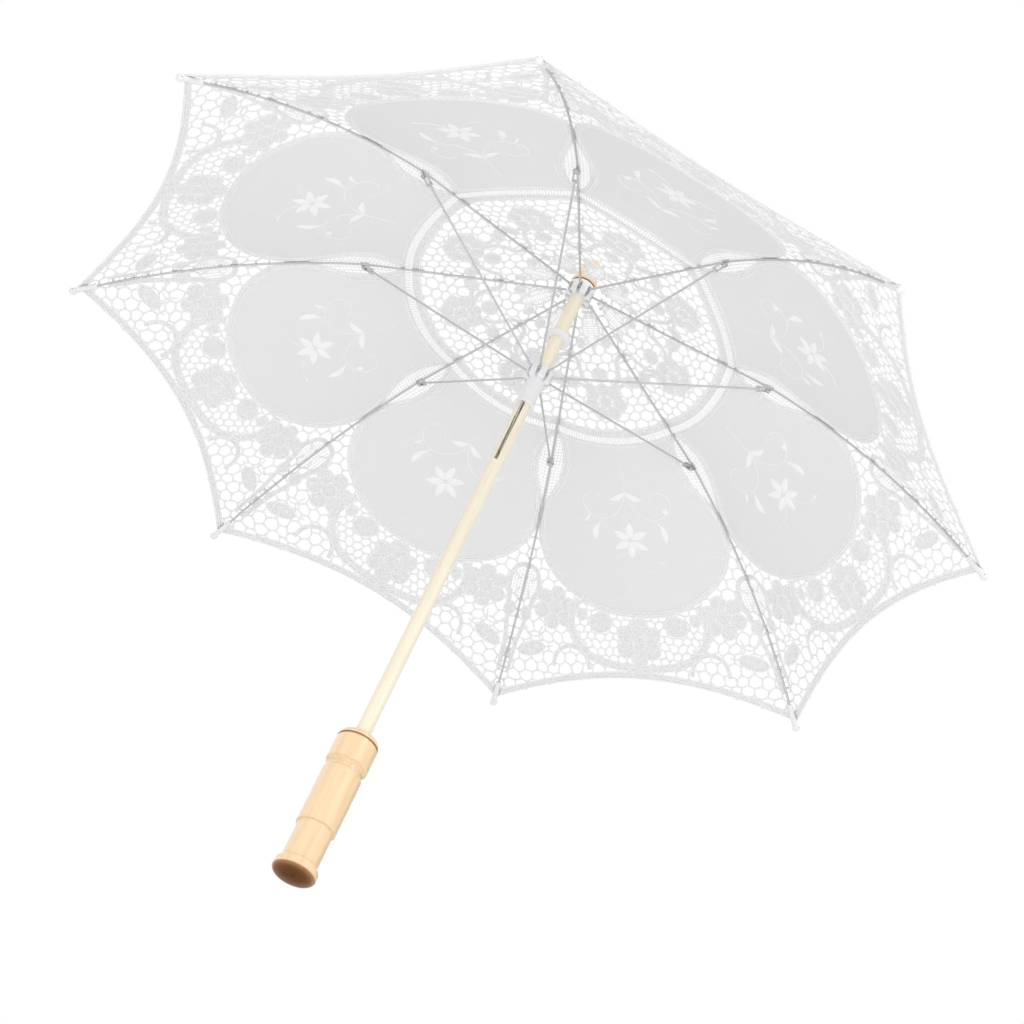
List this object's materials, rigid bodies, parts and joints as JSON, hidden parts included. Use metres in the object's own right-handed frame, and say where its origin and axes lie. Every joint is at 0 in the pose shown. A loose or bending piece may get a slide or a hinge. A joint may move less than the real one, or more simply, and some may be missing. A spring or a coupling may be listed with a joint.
{
  "type": "lace parasol",
  "caption": "Hand-held lace parasol with a turned wooden handle, a straight shaft, folding wire ribs and stretchers on a sliding runner, and a scalloped lace canopy.",
  "frame": {"origin": "centre of the flat face at the foot of the handle", "axes": "+Z along the shaft from the handle to the ferrule, +X along rib 1; ribs are numbered anticlockwise seen from above"},
  "size_m": [0.8084, 0.8084, 0.66],
  "materials": {
    "turned_wood": "clear varnish, satin",
    "shaft_wood": "whitened wood, satin",
    "white_plastic": "smooth, slightly glossy",
    "rib_metal": "pale grey enamel",
    "tie_wire": "bright drawn wire",
    "lace": "white cotton tape lace"
  },
  "bodies": {
    "frame": {"handle": "turned_wood", "shaft": "shaft_wood", "ferrule": "turned_wood", "top_crown": "white_plastic", "crown_wire": "tie_wire", "stop_collar": "white_plastic"},
    "runner": {"runner": "white_plastic", "runner_wire": "tie_wire"},
    "catch": {"spring_catch": "tie_wire"},
    "rib_1": {"rib_1": "rib_metal", "tip_cap_1": "white_plastic", "rivet_1": "tie_wire", "gore_1": "lace"},
    "stretcher_1": {"stretcher_1": "rib_metal"},
    "rib_2": {"rib_2": "rib_metal", "tip_cap_2": "white_plastic", "rivet_2": "tie_wire", "gore_2": "lace"},
    "stretcher_2": {"stretcher_2": "rib_metal"},
    "rib_3": {"rib_3": "rib_metal", "tip_cap_3": "white_plastic", "rivet_3": "tie_wire", "gore_3": "lace"},
    "stretcher_3": {"stretcher_3": "rib_metal"},
    "rib_4": {"rib_4": "rib_metal", "tip_cap_4": "white_plastic", "rivet_4": "tie_wire", "gore_4": "lace"},
    "stretcher_4": {"stretcher_4": "rib_metal"},
    "rib_5": {"rib_5": "rib_metal", "tip_cap_5": "white_plastic", "rivet_5": "tie_wire", "gore_5": "lace"},
    "stretcher_5": {"stretcher_5": "rib_metal"},
    "rib_6": {"rib_6": "rib_metal", "tip_cap_6": "white_plastic", "rivet_6": "tie_wire", "gore_6": "lace"},
    "stretcher_6": {"stretcher_6": "rib_metal"},
    "rib_7": {"rib_7": "rib_metal", "tip_cap_7": "white_plastic", "rivet_7": "tie_wire", "gore_7": "lace"},
    "stretcher_7": {"stretcher_7": "rib_metal"},
    "rib_8": {"rib_8": "rib_metal", "tip_cap_8": "white_plastic", "rivet_8": "tie_wire", "gore_8": "lace"},
    "stretcher_8": {"stretcher_8": "rib_metal"}
  },
  "joints": [
    {"name": "runner_slide", "type": "slide", "parent": "frame", "child": "runner", "axis": [0, 0, -1], "range_m": [0, 0.2485]},
    {"name": "rib_hinge_1", "type": "hinge", "parent": "frame", "child": "rib_1", "pos_m": [0.0095, 0, 0.622], "axis": [0, 1, 0], "range_deg": [0, 61.1], "deforming": ["gore_1"]},
    {"name": "stretcher_hinge_1", "type": "hinge", "parent": "rib_1", "child": "stretcher_1", "pos_m": [0.1833, 0, 0.579], "axis": [0, -1, 0], "range_deg": [0, 117.72]},
    {"name": "rib_hinge_2", "type": "hinge", "parent": "frame", "child": "rib_2", "pos_m": [0.00672, 0.00672, 0.622], "axis": [-0.7071, 0.7071, 0], "range_deg": [0, 61.1], "deforming": ["gore_2"]},
    {"name": "stretcher_hinge_2", "type": "hinge", "parent": "rib_2", "child": "stretcher_2", "pos_m": [0.12961, 0.12961, 0.579], "axis": [0.7071, -0.7071, 0], "range_deg": [0, 117.72]},
    {"name": "rib_hinge_3", "type": "hinge", "parent": "frame", "child": "rib_3", "pos_m": [0, 0.0095, 0.622], "axis": [-1, 0, 0], "range_deg": [0, 61.1], "deforming": ["gore_3"]},
    {"name": "stretcher_hinge_3", "type": "hinge", "parent": "rib_3", "child": "stretcher_3", "pos_m": [0, 0.1833, 0.579], "axis": [1, 0, 0], "range_deg": [0, 117.72]},
    {"name": "rib_hinge_4", "type": "hinge", "parent": "frame", "child": "rib_4", "pos_m": [-0.00672, 0.00672, 0.622], "axis": [-0.7071, -0.7071, 0], "range_deg": [0, 61.1], "deforming": ["gore_4"]},
    {"name": "stretcher_hinge_4", "type": "hinge", "parent": "rib_4", "child": "stretcher_4", "pos_m": [-0.12961, 0.12961, 0.579], "axis": [0.7071, 0.7071, 0], "range_deg": [0, 117.72]},
    {"name": "rib_hinge_5", "type": "hinge", "parent": "frame", "child": "rib_5", "pos_m": [-0.0095, 0, 0.622], "axis": [0, -1, 0], "range_deg": [0, 61.1], "deforming": ["gore_5"]},
    {"name": "stretcher_hinge_5", "type": "hinge", "parent": "rib_5", "child": "stretcher_5", "pos_m": [-0.1833, 0, 0.579], "axis": [0, 1, 0], "range_deg": [0, 117.72]},
    {"name": "rib_hinge_6", "type": "hinge", "parent": "frame", "child": "rib_6", "pos_m": [-0.00672, -0.00672, 0.622], "axis": [0.7071, -0.7071, 0], "range_deg": [0, 61.1], "deforming": ["gore_6"]},
    {"name": "stretcher_hinge_6", "type": "hinge", "parent": "rib_6", "child": "stretcher_6", "pos_m": [-0.12961, -0.12961, 0.579], "axis": [-0.7071, 0.7071, 0], "range_deg": [0, 117.72]},
    {"name": "rib_hinge_7", "type": "hinge", "parent": "frame", "child": "rib_7", "pos_m": [0, -0.0095, 0.622], "axis": [1, 0, 0], "range_deg": [0, 61.1], "deforming": ["gore_7"]},
    {"name": "stretcher_hinge_7", "type": "hinge", "parent": "rib_7", "child": "stretcher_7", "pos_m": [0, -0.1833, 0.579], "axis": [-1, 0, 0], "range_deg": [0, 117.72]},
    {"name": "rib_hinge_8", "type": "hinge", "parent": "frame", "child": "rib_8", "pos_m": [0.00672, -0.00672, 0.622], "axis": [0.7071, 0.7071, 0], "range_deg": [0, 61.1], "deforming": ["gore_8"]},
    {"name": "stretcher_hinge_8", "type": "hinge", "parent": "rib_8", "child": "stretcher_8", "pos_m": [0.12961, -0.12961, 0.579], "axis": [-0.7071, -0.7071, 0], "range_deg": [0, 117.72]},
    {"name": "catch_press", "type": "hinge", "parent": "frame", "child": "catch", "pos_m": [-0.00028, -0.00319, 0.427], "axis": [-0.9962, 0.0872, 0], "range_deg": [0, 3.8], "stiffness_Nm_per_rad": 0.05, "deforming": ["spring_catch"]}
  ],
  "couplings": [
    {"joint": "rib_hinge_1", "follows": "runner_slide", "rad_per_m": 4.291},
    {"joint": "stretcher_hinge_1", "follows": "runner_slide", "rad_per_m": 8.2675},
    {"joint": "rib_hinge_2", "follows": "runner_slide", "rad_per_m": 4.291},
    {"joint": "stretcher_hinge_2", "follows": "runner_slide", "rad_per_m": 8.2675},
    {"joint": "rib_hinge_3", "follows": "runner_slide", "rad_per_m": 4.291},
    {"joint": "stretcher_hinge_3", "follows": "runner_slide", "rad_per_m": 8.2675},
    {"joint": "rib_hinge_4", "follows": "runner_slide", "rad_per_m": 4.291},
    {"joint": "stretcher_hinge_4", "follows": "runner_slide", "rad_per_m": 8.2675},
    {"joint": "rib_hinge_5", "follows": "runner_slide", "rad_per_m": 4.291},
    {"joint": "stretcher_hinge_5", "follows": "runner_slide", "rad_per_m": 8.2675},
    {"joint": "rib_hinge_6", "follows": "runner_slide", "rad_per_m": 4.291},
    {"joint": "stretcher_hinge_6", "follows": "runner_slide", "rad_per_m": 8.2675},
    {"joint": "rib_hinge_7", "follows": "runner_slide", "rad_per_m": 4.291},
    {"joint": "stretcher_hinge_7", "follows": "runner_slide", "rad_per_m": 8.2675},
    {"joint": "rib_hinge_8", "follows": "runner_slide", "rad_per_m": 4.291},
    {"joint": "stretcher_hinge_8", "follows": "runner_slide", "rad_per_m": 8.2675}
  ]
}
